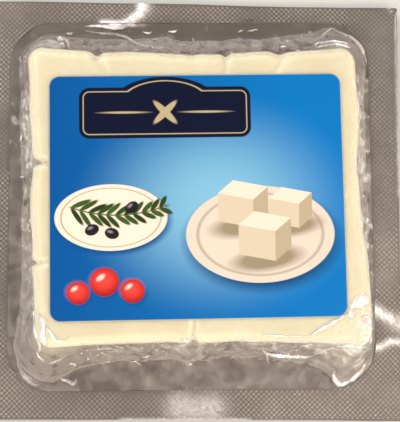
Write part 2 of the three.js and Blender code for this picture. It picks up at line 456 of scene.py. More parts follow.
# Painted highlights where the weld flares white: points, half width and strength
painted_weld_gleams = [
    ([(-17, 66.5), (-16.9, 64.6)], 1.9, 1.0),
    ([(-16.9, 64.6), (-17.6, 62.6), (-20.3, 60.6)], 1.3, 1.0),
    ([(-20.3, 60.6), (-23.5, 59.2), (-29.7, 59.3)], 0.8, 1.0),
    ([(55.8, -30.6), (58.7, -32.5), (61.8, -34.4)], 1.7, 1.0),
    ([(61.8, -34.4), (66, -36.5)], 2.2, 0.6),
    ([(56.3, -43.7), (59.5, -42.5), (62, -41.2), (66, -41.5)], 0.9, 0.9),
    ([(-4, -61.8), (1, -62.4), (6, -62.2)], 4.4, 0.42),
    ([(61.6, 66.5), (63.4, 64.9), (64.7, 63.9), (66.5, 65)], 0.22, 0.9),
    ([(64.9, 64), (65, 36), (65.1, 4)], 0.28, 0.4),
    ([(60.5, 56), (60.5, -22)], 6, 0.045),
    ([(-22, -65.9), (0, -65.8), (18, -65.9)], 0.55, 0.6),
]


def off_route(points, route):
    """How far each point is from a line of straight pieces, seen from above."""
    nearest = np.full(len(points), np.inf)
    for start, end in zip(np.array(route[:-1], float), np.array(route[1:], float)):
        run = end - start
        share = np.clip((points - start) @ run / (run @ run), 0, 1)
        nearest = np.minimum(nearest, np.linalg.norm(points - start - share[:, None] * run, axis=1))
    return nearest


def weld_line(stations, share, inset_ends=0.0):
    """A line on the weld, from its inner edge (0) to its cut edge (1), lifted as it has sprung."""
    inner = follow(pocket, stations, inset_ends)
    plain = follow(pack, stations)
    knife = cut_wave * (0.5 + 0.5 * unevenness(plain, cut_waves))
    outer = follow(pack, stations, -knife - inset_ends)
    line = inner + (outer - inner) * share
    height = seal_wave * share * unevenness(line, lift_waves)
    height += seal_ripple * waved(line, seal_ripple_size, 40 / seal_ripple_size)
    for route, half_width, rise in weld_creases:
        height += rise * np.exp(-((off_route(line, route) / half_width) ** 2))
    return with_height(line, seal_top - seal_sunk + height)


def give(piece, name, values):
    """Stores a value at each point of a piece, for its material to read."""
    level = piece.data.attributes.new(name, "FLOAT", "POINT")
    level.data.foreach_set("value", np.asarray(values, dtype=np.float32))


def add_painted_gleam(piece):
    """Marks how strongly each point of a piece gets the painted highlight, broken up by a fine grain."""
    points = np.array([vertex.co for vertex in piece.data.vertices]) / mm
    level = np.zeros(len(points))
    for route, half_width, strength in painted_weld_gleams:
        near = np.exp(-((off_route(points[:, :2], route) / half_width) ** 2))
        level = np.maximum(level, strength * near)
    grain = np.zeros(len(points))
    for i in np.flatnonzero(level > 0.02):
        grain[i] = noise.noise(Vector(points[i]) / 0.7)
    give(piece, "painted_gleam", np.clip(level * (1 + 0.9 * grain), 0, 1))


def bead_mesh():
    """One bead: a low round button, closed underneath."""
    around = 6
    points, faces = [], []
    for radius, height in ((1.0, -0.3), (0.92, 0.25), (0.5, 0.62)):
        for i in range(around):
            angle = 2 * math.pi * i / around
            points.append((radius * math.cos(angle), radius * math.sin(angle), height))
    points.append((0, 0, 0.72))
    for ring in range(2):
        for i in range(around):
            j = (i + 1) % around
            start = ring * around
            faces.append((start + i, start + j, start + around + j, start + around + i))
    faces += [(2 * around + i, 2 * around + (i + 1) % around, 3 * around) for i in range(around)]
    faces.append(tuple(reversed(range(around))))
    mesh = bpy.data.meshes.new("bead")
    mesh.from_pydata((np.array(points) * bead_stretch * net_bead * mm).tolist(), [], faces)
    return mesh


def maths(tree, operation, *values, clamp=False):
    inputs = dict(enumerate(values))
    return node(tree, "ShaderNodeMath", inputs, operation=operation, use_clamp=clamp).outputs[0]


def net_tree(bead, line_material, bead_material):
    """A square net turned by 45 degrees, dropped on the surface given: lines and beads."""
    tree = bpy.data.node_groups.new("diamond_net", "GeometryNodeTree")
    face = tree.interface
    face.new_socket("Surface", in_out="INPUT", socket_type="NodeSocketGeometry")
    sizes = {}
    for name in ("Pitch", "Reach", "Line"):
        sizes[name] = face.new_socket(name, in_out="INPUT", socket_type="NodeSocketFloat")
    face.new_socket("Net", in_out="OUTPUT", socket_type="NodeSocketGeometry")
    given = node(tree, "NodeGroupInput").outputs
    place = node(tree, "GeometryNodeInputPosition").outputs["Position"]
    eighth_turn = math.radians(45)

    # A flat grid held above the surface
    crossings = maths(tree, "FLOOR", maths(tree, "DIVIDE", given["Reach"], given["Pitch"]))
    width = maths(tree, "MULTIPLY", maths(tree, "SUBTRACT", crossings, 1), given["Pitch"])
    across = {"Size X": width, "Size Y": width, "Vertices X": crossings, "Vertices Y": crossings}
    grid = node(tree, "GeometryNodeMeshGrid", across)
    held_above = {"Translation": (0, 0, 20 * mm), "Rotation": (0, 0, eighth_turn)}
    grid = node(tree, "GeometryNodeTransform", {"Geometry": grid.outputs["Mesh"], **held_above})

    # Each crossing is dropped on the surface, or left out where it misses
    fall = {"Target Geometry": given["Surface"], "Source Position": place}
    fall |= {"Ray Direction": (0, 0, -1), "Ray Length": 1}
    ray = node(tree, "GeometryNodeRaycast", fall)
    missed = node(tree, "FunctionNodeBooleanMath", {0: ray.outputs["Is Hit"]}, operation="NOT")
    held = node(tree, "GeometryNodeCaptureAttribute", {"Geometry": grid.outputs["Geometry"]})
    held.capture_items.new("VECTOR", "Landing")
    held.capture_items.new("BOOLEAN", "Missed")
    tree.links.new(ray.outputs["Hit Position"], held.inputs["Landing"])
    tree.links.new(missed.outputs[0], held.inputs["Missed"])
    strays = {"Geometry": held.outputs["Geometry"], "Selection": held.outputs["Missed"]}
    kept = node(tree, "GeometryNodeDeleteGeometry", strays)
    patches = node(tree, "ShaderNodeTexNoise", {"Vector": place, "Scale": 95, "Detail": 1})
    sunk = remap(tree, patches.outputs["Fac"], 0.28, 0.6, *[height * mm for height in net_worn])
    sinking = node(tree, "ShaderNodeCombineXYZ", {"Z": sunk})
    spots = {"Geometry": kept.outputs["Geometry"], "Position": held.outputs["Landing"]}
    spots |= {"Offset": sinking.outputs["Vector"]}
    landed = node(tree, "GeometryNodeSetPosition", spots).outputs["Geometry"]

    # Raised lines between the crossings
    curves = node(tree, "GeometryNodeMeshToCurve", {"Mesh": landed})
    profile = node(tree, "GeometryNodeCurvePrimitiveCircle", {"Resolution": 4, "Radius": given["Line"]})
    sweep = {"Curve": curves.outputs["Curve"], "Profile Curve": profile.outputs["Curve"], "Fill Caps": True}
    swept = node(tree, "GeometryNodeCurveToMesh", sweep)

    # Beads on the crossings, uneven in size, leaning one way or the other
    model = node(tree, "GeometryNodeObjectInfo", {"Object": bead})
    smallest, largest = bead_sizes
    spread = {2: smallest, 3: largest, "Seed": 4}
    uneven = node(tree, "FunctionNodeRandomValue", spread, data_type="FLOAT")
    regions = node(tree, "ShaderNodeTexNoise", {"Vector": place, "Scale": 42, "Detail": 1})
    flattened = remap(tree, regions.outputs["Fac"], 0.38, 0.6, *bead_patches)
    spot = node(tree, "ShaderNodeSeparateXYZ", {0: place})
    sides = {0: spot.outputs["Y"], 1: bead_turn_line * mm}
    in_front = node(tree, "FunctionNodeCompare", sides, data_type="FLOAT", operation="LESS_THAN")
    leans = {"Switch": in_front.outputs[0], "False": -eighth_turn, "True": eighth_turn}
    lean = node(tree, "GeometryNodeSwitch", leans, input_type="FLOAT")
    heading = node(tree, "ShaderNodeCombineXYZ", {"Z": lean.outputs["Output"]})
    seats = {"Points": landed, "Instance": model.outputs["Geometry"], "Rotation": heading.outputs["Vector"]}
    seats |= {"Scale": maths(tree, "MULTIPLY", uneven.outputs[1], flattened)}
    beads = node(tree, "GeometryNodeInstanceOnPoints", seats)

    both = node(tree, "GeometryNodeJoinGeometry")
    finishes = ((swept.outputs["Mesh"], line_material), (beads.outputs["Instances"], bead_material))
    for shape, material in finishes:
        finished = node(tree, "GeometryNodeSetMaterial", {"Geometry": shape, "Material": material})
        tree.links.new(finished.outputs["Geometry"], both.inputs["Geometry"])
    real = node(tree, "GeometryNodeRealizeInstances", {"Geometry": both.outputs["Geometry"]})
    smooth = node(tree, "GeometryNodeSetShadeSmooth", {"Geometry": real.outputs["Geometry"]})
    node(tree, "NodeGroupOutput", {"Net": smooth.outputs["Geometry"]})
    return tree, {name: socket.identifier for name, socket in sizes.items()}


weld_grey = satin_grey("weld_grey", 0.42, 0.4, (0.122, 0.103, 0.086), (0.16, 0.136, 0.114))
# The net is the weld's own laminate, painted lighter as painted highlights where it catches the light; the
# beads lightest
line_grey_painted_light = satin_grey("line_grey_painted_light", 0.35, 0.7, (0.29, 0.255, 0.22), (0.38, 0.335, 0.29), 0.02)
bead_grey_painted_highlight = satin_grey("bead_grey_painted_highlight", 0.28, 0.85, (0.46, 0.415, 0.37), (0.58, 0.53, 0.47), 0.02)
seal_stations = stations_round(150, 14)
weld_shares = [0, 0.012, *np.linspace(0.05, 0.95, 14), 0.988, 1]
upper = [weld_line(seal_stations, share) for share in weld_shares]
drop = np.array([0, 0, seal_thickness])
lower = [line - drop for line in reversed(upper)]
seal = skin("welded_edge", upper + lower, weld_grey, looped=True)

landing_lines = [weld_line(seal_stations, share, net_margin) for share in np.linspace(0, 1, 14)]
landing = skin("landing", landing_lines, weld_grey, capped=(False, False))
bead_model = linked("bead", bead_mesh())
tree, net_sockets = net_tree(bead_model, line_grey_painted_light, bead_grey_painted_highlight)
net = landing.modifiers.new("net", "NODES")
net.node_group = tree
net[net_sockets["Pitch"]] = net_pitch * mm
net[net_sockets["Reach"]] = net_reach * mm
net[net_sockets["Line"]] = net_line * mm
graph = bpy.context.evaluated_depsgraph_get()
diamond_net = linked("diamond_net", bpy.data.meshes.new_from_object(landing.evaluated_get(graph)))
for helper in (landing, bead_model):
    bpy.data.objects.remove(helper)
for piece in (seal, diamond_net):
    add_painted_gleam(piece)
    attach(piece, "root")
    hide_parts("sealed_pack")

# The clear film
# A sheet drawn into a pocket with heat, then sucked down over the block. It lies smooth on the
# face, crumples down the sides over a little milky whey, and spans the gap to the weld.
face_height = 25.4
edge_round = 3.0
# How far out the foot lies from the cheese to the weld: front, right, back, left
foot_share = np.array([0.47, 0.87, 0.72, 0.68])
foot_wave = 0.07
# The same at the corners: front right, back right, back left, front left
corner_share = np.array([0.96, 0.9, 0.7, 0.86])
corner_reach = 5
fold_depth = 0.5
foot_waves = [(7, 0.9, 0.4), (13, 2.7, 0.35), (22, 5.1, 0.25)]
fold_waves = [(17, 1.9, 0.3), (26, 0.2, 0.35), (37, 4.0, 0.35)]
film_thickness = 0.1
crumpling = np.array([0.6, 0.35, 0.4, 0.45])  # how far each side is crumpled
corner_calm = 0.8  # how much less the corners are
crumple_grain = (0.55, 0.55, 0.16)  # crumples to the millimetre along x, along y and upwards
crumple_mean = 1.1  # of the noise that they are made from
side_draw = 1.75  # power by which it draws in towards the foot along the sides
corner_draw = 0.95  # the same at the corners
hang = 1.45  # how much the film sags between the cheese's edge and its foot
film_sag = 0.45  # how deep the film follows a groove of the face
tight_wave = 0.04  # how far it waves over the middle of the face
loose_wave = 0.14  # the same near the block's edge
face_wave_size = 9
skirt_wave = 0.12  # the same beside the weld
skirt_wave_size = 5
film_insets = (40, 32, 25, 19, 14, 11.5, *np.arange(10, 3.2, -0.6))
# The film's rim under the weld: how far across the weld, and how far below its upper side
tucked_under = ((0.012, 0.03), (0.03, 0.06), (0.05, 0.2))
# How white the film looks as it gets milkier, up to the white of the painted highlights, and over the cheese
film_tints = [
    (0.05, (0.69, 0.63, 0.58)),
    (0.15, (0.61, 0.545, 0.495)),
    (0.5, (0.69, 0.62, 0.56)),
    (0.9, (1, 0.99, 0.96)),
]
# The cheese's cream seen through the film, painted lighter than the cheese so the shade on its side under
# the tent doesn't show
film_cream_painted_light = (0.95, 0.9, 0.75, 1)
film_shine = 0.65
# How milky the film is along each side, from its start to its end going anticlockwise: front from
# the left, right from the front, back from the right, left from the back
milk_at_cheese = np.array([(0.4, 0.66), (0.8, 0.72), (0.14, 0.18), (0.62, 0.6)])
milk_at_foot = np.array([(0.16, 0.28), (0.6, 0.62), (0.22, 0.22), (0.6, 0.22)])
milk_in_corner = np.array([0.4, 0.24, 0.42, 0.16])  # front right, back right, back left, front left
milk_patchiness = np.array([0.75, 0.4, 0.75, 0.5])
milk_fade = np.array([0.42, 0.12, 0.34, 0.24])  # over what share of the tent it thins out
# A milkier rim low on each side, with its height on the tent and half width as shares of it
milk_rim = np.array([(0, 0), (0.03, 0.03), (0.06, 0.06), (0.2, 0)])
milk_rim_height = 0.2
milk_rim_width = 0.1
ragged_by = 0.1  # how raggedly the milk runs out, as a share of the tent
# Milk over the margin between the tent's foot and the weld, from the start to the end of each side, and at
# the corners: front right, back right, back left, front left. On the right and at the front right corner
# some of it is painted light that lifts the shade in the gap by the weld
margin_milk_and_light = np.array([(0.1, 0.17), (0.22, 0.14), (0.02, 0.02), (0.04, 0.15)])
corner_margin_milk_and_light = np.array([0.2, 0.08, 0.05, 0.13])
# Patches of it: how strong, how large, and a seed
milk_patches = [(0.6, 5.5, 9), (0.8, 2.4, 1), (0.25, 1.1, 5)]
most_milk = 0.74
most_painted_glare = 0.97
milk_edge = 3.0  # how far it runs in over the cheese's shoulder
# How far down the tent the cheese shows cream through it, along the sides and at the corners
cream_reach = np.array([(0.42, 0.42), (0.75, 0.4), (0.15, 0.15), (0.45, 0.42)])
cream_in_corner = np.array([0.6, 0.2, 0.25, 0.35])
# Where more milk has gathered, or less: middle, radius and how much more
milk_pools = [
    ((44.3, -42.5), 4, 0.15),
    ((50.5, -41.5), 4.5, 0.18),
    ((53, -36), 3.5, 0.3),
    ((49.5, -37), 7, 0.38),
    ((46.5, -48), 3.5, 0.1),
    ((-43.8, -38), 2.5, 0.3),
    ((-52.6, 33.5), 2.2, 0.3),
    ((-53.2, 24.5), 2.6, 0.3),
    ((-52.4, 17), 2.0, 0.25),
    ((-31.5, 47.3), 2.2, -0.3),
    ((-18, 47.8), 2.4, -0.3),
    ((9, 48.4), 2.4, -0.3),
    ((28, 48.8), 2.0, -0.2),
    ((-38.2, -53.6), 2.2, 0.2),
    ((-50, 49.6), 3.2, 0.45),
    ((-45.5, 50.4), 3.2, 0.5),
    ((-49.4, -38), 4.5, 0.26),
    ((-47.6, -31), 3.5, 0.25),
    ((53, 36), 7, 0.16),
    ((-53, 46.5), 3.0, 0.3),
]
# Painted highlights where the film glares white: middle, half length, half width and strength
painted_glares = [
    ((48.6, -28.6), 2.0, 1.3, 1.2),
    ((46.2, -29.8), 1.4, 0.9, 1.2),
    ((45.0, -32.2), 0.8, 1.5, 1.0),
    ((50.5, -34.2), 1.6, 0.7, 1.1),
    ((-43.6, -35), 1.0, 2.0, 1.2),
    ((-42.6, 52.6), 0.9, 0.8, 1.2),
    ((-21.5, 58.7), 3.6, 0.7, 1.2),
    ((-26.5, 58.6), 3.0, 0.4, 1.1),
]


def cornering(stations):
    """How near each station is to a corner, from 0 along the sides to 1 round the corners."""
    return np.where(stations.corner, 1.0, np.abs(stations.place) ** corner_reach)


def next_corner(stations):
    """The corner each station is at or leans towards."""
    return np.where(stations.place < 0, stations.side - 1, stations.side)


def tent_foot(stations):
    """The line where the film comes down on the web."""
    near = block_edge(stations, 0)
    share = foot_share[stations.side]
    share = share + (corner_share[next_corner(stations)] - share) * cornering(stations)
    share += foot_wave * (1 - cornering(stations)) * unevenness(near, foot_waves)
    return near + (follow(pocket, stations) - near) * share[:, None]


def tent_line(stations, height):
    """A line on the tent, from 1 at the cheese's edge to 0 at the foot, with folds and crumples."""
    near = block_edge(stations, 0, height)
    foot = tent_foot(stations)
    gap = foot - near
    outwards = gap / np.linalg.norm(gap, axis=1)[:, None]
    draw = side_draw + (corner_draw - side_draw) * cornering(stations)
    line = near + gap * ((1 - height) ** draw)[:, None]
    belly = math.sin(math.pi * height)
    fold = fold_depth * belly * unevenness(near, fold_waves)
    z = seal_top + (face_height - edge_round - seal_top) * height**hang
    crumple = []
    for x, y in line:
        at = Vector((x, y, z)) * Vector(crumple_grain)
        crumple.append(noise.ridged_multi_fractal(at, 0.9, 2.1, 3, 1.0, 2.0) - crumple_mean)
    calm = 1 - corner_calm * cornering(stations)
    crumple = np.array(crumple) * crumpling[stations.side] * calm * belly
    line = line + outwards * (fold + crumple)[:, None]
    rise = 0.5 * belly * crumple
    return with_height(line, z + rise)


def face_line(stations, inset, drop):
    """A line over the face or round its edge, with the slack of the film in it."""
    grooved = 1 - np.clip(inset / groove_run, 0, 1) ** 2
    line = block_edge(stations, -inset, grooved)
    sag = film_sag * grooved * pinch(stations)
    loose = np.clip(1 - inset / 7, 0, 1)
    slack = waved(line, face_wave_size, 7) * (tight_wave + (loose_wave - tight_wave) * loose)
    return with_height(line, face_height - drop - sag + slack)


def skirt_line(stations, share):
    """A line from the tent's foot (0) to the weld's inner edge (1)."""
    foot = tent_foot(stations)
    join = weld_line(stations, 0)
    line = foot + (join[:, :2] - foot) * share
    own = seal_top - 0.05 + skirt_wave * waved(line, skirt_wave_size, 21)
    return with_height(line, own + (join[:, 2] - own) * share**2)


def film_material():
    """Clear, glossy film; attributes say where whey makes it milky and where painted highlights
    whiten it, and where cheese shows cream through it."""
    material, tree = new_material("clear_film")
    milk_and_glare = node(tree, "ShaderNodeAttribute", attribute_name="milk_and_glare").outputs["Fac"]
    cream_share = node(tree, "ShaderNodeAttribute", attribute_name="cream").outputs["Fac"]
    place = node(tree, "ShaderNodeTexCoord").outputs["Object"]
    squat = node(tree, "ShaderNodeMapping", {"Vector": place, "Scale": (1, 1, 2.5)}).outputs["Vector"]
    smear = node(tree, "ShaderNodeTexNoise", {"Vector": squat, "Scale": 230, "Detail": 3, "Roughness": 0.55})
    smeared = remap(tree, smear.outputs["Fac"], 0.32, 0.68, 0.35, 1.6)
    milk_and_glare_smeared = maths(tree, "MULTIPLY", milk_and_glare, smeared, clamp=True)
    shine = node(tree, "ShaderNodeFresnel", {"IOR": 1.55}).outputs["Fac"]
    cover = maths(tree, "MAXIMUM", remap(tree, shine, 0, 1, 0, film_shine), milk_and_glare_smeared, clamp=True)
    bare_sheen = remap(tree, milk_and_glare_smeared, 0, 0.12, 1, 0.2)
    glint = remap(tree, milk_and_glare, 0.78, 0.95, 0, 0.8)
    fine = {"Vector": place, "Scale": 520, "Detail": 2, "Distortion": 1.2}
    crinkle = node(tree, "ShaderNodeTexNoise", fine).outputs["Fac"]
    relief = {"Height": crinkle, "Distance": 0.3 * mm, "Strength": remap(tree, milk_and_glare, 0, 0.3, 0.03, 0.5)}
    looks = {
        "Base Color": blended(tree, cream_share, ramp(tree, milk_and_glare, film_tints), film_cream_painted_light),
        "Metallic": maths(tree, "MAXIMUM", bare_sheen, glint),
        "Roughness": remap(tree, milk_and_glare, 0, 0.2, 0.3, 0.08),
        "Normal": node(tree, "ShaderNodeBump", relief).outputs["Normal"],
    }
    seen = node(tree, "ShaderNodeBsdfPrincipled", looks)
    clear = node(tree, "ShaderNodeBsdfTransparent")
    finish_with(tree, node(tree, "ShaderNodeMixShader", {0: cover, 1: clear.outputs[0], 2: seen.outputs[0]}))
    return material


def along(ends, stations):
    """A value that runs from the start to the end of each side."""
    share = np.where(stations.corner, 1, (stations.place + 1) / 2)
    return ends[stations.side, 0] * (1 - share) + ends[stations.side, 1] * share


def round_pack(ends, corners, stations):
    """A value that runs along each side and turns into another one at each corner."""
    beside = along(ends, stations)
    return beside + (corners[next_corner(stations)] - beside) * cornering(stations)


def milkiness(stations, height):
    """How milky the tent is, from 1 at the cheese's edge to 0 at the foot."""
    beside = milk_at_foot + (milk_at_cheese - milk_at_foot) * height
    return round_pack(beside, milk_in_corner, stations)


def patchy(points, size, seed):
    """An uneven value at each point, about -1 to 1, in patches of that size."""
    shift = Vector((seed * 3.7, seed * 9.1, seed * 5.3))
    flattened = points * np.array([1, 1, 0.35]) / size
    return np.array([2 * noise.fractal(Vector(p) + shift, 0.9, 2.1, 3) for p in flattened])


def pooled(line):
    """How much more milk there is along a line."""
    more = np.zeros(len(line))
    for (x, y), radius, amount in milk_pools:
        more += amount * np.exp(-(((line[:, 0] - x) ** 2 + (line[:, 1] - y) ** 2) / radius**2))
    return more


def milk_on_tent(stations, height, line):
    """The milkiness along a line of the tent: in patches, thinning out raggedly towards the foot."""
    uneven = sum(strength * patchy(line, size, seed) for strength, size, seed in milk_patches)
    level = milkiness(stations, height) * (1 + milk_patchiness[stations.side] * uneven) + pooled(line)
    ragged = height + ragged_by * patchy(line, 3.2, 2)
    rim = along(milk_rim, stations) * (1 - cornering(stations))
    level += rim * np.exp(-(((ragged - milk_rim_height) / milk_rim_width) ** 2))
    share = np.clip((ragged - 0.01) / milk_fade[stations.side], 0, 1)
    margin = round_pack(margin_milk_and_light, corner_margin_milk_and_light, stations) * (1 + 0.5 * patchy(line, 5, 4))
    return np.maximum(np.clip(level, 0.02, most_milk) * share * share * (3 - 2 * share), margin)


def painted_glare(line):
    """How white the painted highlights make the film along a line."""
    painted_white = np.zeros(len(line))
    for (x, y), half_x, half_y, strength in painted_glares:
        reach = ((line[:, 0] - x) / half_x) ** 2 + ((line[:, 1] - y) / half_y) ** 2
        painted_white += strength * np.exp(-reach) * (1 + 0.3 * patchy(line, 1.6, 7))
    return np.clip(painted_white, 0, most_painted_glare)


film_stations = stations_round(150, 14)
all_round = np.ones(len(film_stations.side))
film_lines, film_milk_and_glare, film_cream_share = [], [], []
for inset in film_insets:
    film_lines.append(face_line(film_stations, inset, 0))
    film_milk_and_glare.append(np.maximum(pooled(film_lines[-1]), 0))
    film_cream_share.append(all_round)
for inset, rise in reversed(quarter_round(edge_round, 7)):
    film_lines.append(face_line(film_stations, inset, edge_round - rise))
    shoulder = milkiness(film_stations, 1) * max(0, 1 - inset / milk_edge) ** 1.5
    film_milk_and_glare.append(np.maximum(shoulder + pooled(film_lines[-1]), 0))
    film_cream_share.append(all_round)
for height in np.linspace(1, 0, 31)[1:]:
    film_lines.append(tent_line(film_stations, height))
    film_milk_and_glare.append(milk_on_tent(film_stations, height, film_lines[-1]))
    reach = round_pack(cream_reach, cream_in_corner, film_stations)
    reach = reach * (1 + 0.4 * patchy(film_lines[-1], 3, 6))
    film_cream_share.append(np.clip(1 - (1 - height) / np.maximum(reach, 0.02), 0, 1))
for share in np.linspace(0, 1, 10)[1:]:
    film_lines.append(skirt_line(film_stations, share))
    film_milk_and_glare.append(milk_on_tent(film_stations, 0, film_lines[-1]))
    film_cream_share.append(0 * all_round)
for share, depth in tucked_under:
    film_lines.append(weld_line(film_stations, share) - np.array([0, 0, depth]))
    film_milk_and_glare.append(film_milk_and_glare[-1])
    film_cream_share.append(0 * all_round)
# Painted highlights whiten the film and hide the cream under them
for i, line in enumerate(film_lines):
    painted_white = painted_glare(line)
    film_milk_and_glare[i] = np.maximum(film_milk_and_glare[i], painted_white)
    film_cream_share[i] = np.minimum(film_cream_share[i], 1 - painted_white)

film_finish = film_material()
film = skin("clear_film", film_lines, film_finish, capped=(True, False))
give(film, "milk_and_glare", np.append(np.concatenate(film_milk_and_glare), 0))
give(film, "cream", np.append(np.concatenate(film_cream_share), 1))
film_sheet = BVHTree.FromPolygons(
    [vertex.co for vertex in film.data.vertices], [tuple(face.vertices) for face in film.data.polygons]
)
thickness = film.modifiers.new("thickness", "SOLIDIFY")
thickness.thickness = film_thickness * mm
thickness.offset = -1
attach(film, "root")
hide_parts("sealed_pack")

# Folds in the film
# Where the film had too much slack it doubled over on itself. Each fold is a narrow welt of film
# lying on the sheet, thin at both ends, with a painted highlight that whitens it, most along its top.
# Each fold: its points seen from above, its width, its height and how white its painted highlight is
folds = {
    "front_right_crease": ([(44.5, -32), (41.2, -34), (37.4, -36), (32.6, -38.7)], 0.9, 0.3, 1.0),
    "front_right_faint": ([(32.6, -38.7), (26, -38.8), (18.6, -38.4)], 0.4, 0.12, 0.95),
    "front_right_run": (
        [(20.7, -43.4), (22.2, -44.8), (25, -45.6), (28.3, -45.8), (32, -46), (34.8, -46), (37, -45.3)],
        1.35, 0.45, 1.0,
    ),
    "front_right_over": (
        [(36.5, -45.5), (39.4, -43.6), (42.2, -42), (45, -41.6), (48.3, -42.1), (50.8, -42.8),
         (53.3, -43.3), (56.3, -43)],
        1.1, 0.45, 1.0,
    ),
    "front_middle_crease": ([(-3.9, -39.8), (-2.5, -40.3), (0.1, -40.9)], 0.7, 0.3, 0.95),
    "front_branch": ([(22.4, -44.2), (22.9, -46.3), (23.5, -48.6)], 0.7, 0.3, 0.6),
    "corner_loop": (
        [(47.4, -33.8), (49, -35.1), (50.6, -36.5), (51.9, -36.2), (53.6, -33.8), (54.4, -31.5),
         (53.4, -29.8), (52.5, -31.5), (51.6, -33.2), (49.3, -33.2), (47.4, -33)],
        1.1, 0.35, 0.95,
    ),
    "corner_spot": ([(53, -39), (52.8, -40.6), (52, -41.5)], 0.9, 0.35, 0.9),
    "front_right_hook": (
        [(43.4, -50.1), (43.6, -52.2), (45, -54), (46.5, -54.6), (49.3, -53.3)], 1.5, 0.5, 0.8,
    ),
    "front_right_arc": ([(46.5, -54.4), (49.3, -53.3), (51.8, -50.7), (54.2, -47)], 1.4, 0.4, 0.8),
    "front_left_crease": (
        [(-46.7, -30.1), (-47.2, -33.8), (-45.9, -37.4), (-44.9, -40), (-44.7, -43.1), (-46, -44.2),
         (-45.6, -46), (-43.8, -47.7)],
        0.95, 0.4, 0.95,
    ),
    "front_left_foot": ([(-43.8, -47.7), (-42.3, -47.7), (-40.5, -46.9), (-37.9, -45.9)], 0.6, 0.25, 0.7),
    "front_left_inner": (
        [(-44.4, -32.6), (-44.1, -33.6), (-43, -35.7), (-43.4, -38.7), (-42.6, -41.3), (-42.9, -43.4)],
        1.15, 0.3, 0.95,
    ),
    "front_left_face": (
        [(-42.8, -36), (-40.7, -38.7), (-39.8, -40.5), (-37.9, -40.6), (-35.3, -39.5)], 0.8, 0.25, 0.95,
    ),
    "front_left_arc": (
        [(-54, -46.6), (-53.6, -49), (-52.6, -51.3), (-50.6, -53.8), (-48.6, -55.2), (-46.6, -55.2)],
        1.4, 0.4, 0.5,
    ),
    "front_left_ripple": ([(-41, -53.3), (-38.5, -54), (-36.6, -54.8), (-35.8, -53.2)], 1.1, 0.5, 0.65),
    "back_spot": ([(-44, 54.2), (-43, 53), (-42, 51.9)], 1.7, 1.2, 1.0),
    "back_spot_lower": ([(-42.9, 51), (-41.2, 49.9)], 1.1, 1.0, 1.0),
    "back_blister": ([(-43.4, 53.6), (-42.8, 52.4), (-41.7, 50.5), (-40.8, 48.8)], 2.2, 1.0, 0.05),
    "back_blister_edge": ([(-43.8, 54.8), (-41.8, 53.6), (-40.4, 51.4), (-39.7, 48.9)], 0.9, 0.4, 0.7),
    "back_left_fold": (
        [(-35.6, 56.6), (-31.2, 55.8), (-26.8, 55.5), (-22.3, 54.6), (-20.1, 53), (-17.5, 51.4),
         (-13.8, 50.6), (-9.5, 50.5)],
        1.3, 0.45, 0.5,
    ),
    "back_tail": ([(-19.5, 59.6), (-23, 57.9), (-27, 57.6), (-31, 58.2), (-35.8, 58)], 1.0, 0.3, 0.9),
    "back_arc_left": ([(-17.2, 56.6), (-14.9, 56), (-14, 56.7)], 0.7, 0.3, 0.8),
    "back_arc_middle": ([(-8.9, 56.8), (-6.9, 56.5), (-5.7, 57.5)], 0.7, 0.3, 0.8),
    "back_arc_far_left": ([(-41.4, 55.8), (-40.1, 55.2), (-39.2, 55.9)], 0.7, 0.3, 0.8),
    "back_arc_right": ([(13.4, 57), (14.3, 57.2), (15.4, 57.9)], 0.6, 0.3, 0.75),
    "back_arc_far_right": ([(16.5, 57.2), (18.5, 57.6), (20.4, 57.9)], 0.6, 0.3, 0.75),
    "back_right_outer": (
        [(37.2, 49.6), (38.4, 52.1), (40.8, 51.7), (43.9, 51.2), (47, 51.3), (48.6, 50.1)], 0.9, 0.45, 1.0,
    ),
    "back_right_inner": (
        [(37.2, 49.6), (38.8, 50), (41, 49.6), (43.9, 48.9), (46.8, 49.1), (48.6, 50.1)], 0.9, 0.45, 1.0,
    ),
    "back_right_peak": ([(39.5, 54), (41.5, 56.5), (44, 58.7), (44.9, 57.9), (46.5, 57.3)], 1.1, 0.5, 0.45),
    "back_right_rim": ([(46.5, 57.3), (50, 55.9), (52.9, 53.3), (54.6, 49.7), (55.2, 47)], 1.6, 0.6, 0.6),
    "left_nick": ([(-56.3, 46.6), (-55.9, 47.7), (-55.3, 45.1)], 0.7, 0.3, 0.6),
}
# Short creases that crumple the sides: the side, how many, and the stretch of it that they lie on
crumple_sets = [
    (0, 48, -0.9, 0.05),
    (0, 22, 0.05, 0.9),
    (1, 18, -0.9, 0.9),
    (2, 26, -0.9, 0.8),
    (3, 34, -0.9, 0.9),
]
crease_half_lengths = (0.4, 1.5)
crease_widths = (0.4, 0.9)
crease_height = 0.3
crease_swerve = 0.7  # how far it turns from its side's own direction, in radians
crease_bend = 0.35  # how far its middle bends out, as a share of its half length
welt_sides = 14
welt_step = 0.3  # from one ring to the next
welt_sunk = 0.12  # how deep its underside lies in the film
thinnest = 0.08  # how thin it is at its ends, as a share of its middle
upright = np.array([0, 0, 0.9])  # how far the welts lean up from the film
well_painted = 0.6  # a fold whose painted highlight is whiter than this is broader, higher and jagged
jag = 0.28  # how far such a fold strays to either side


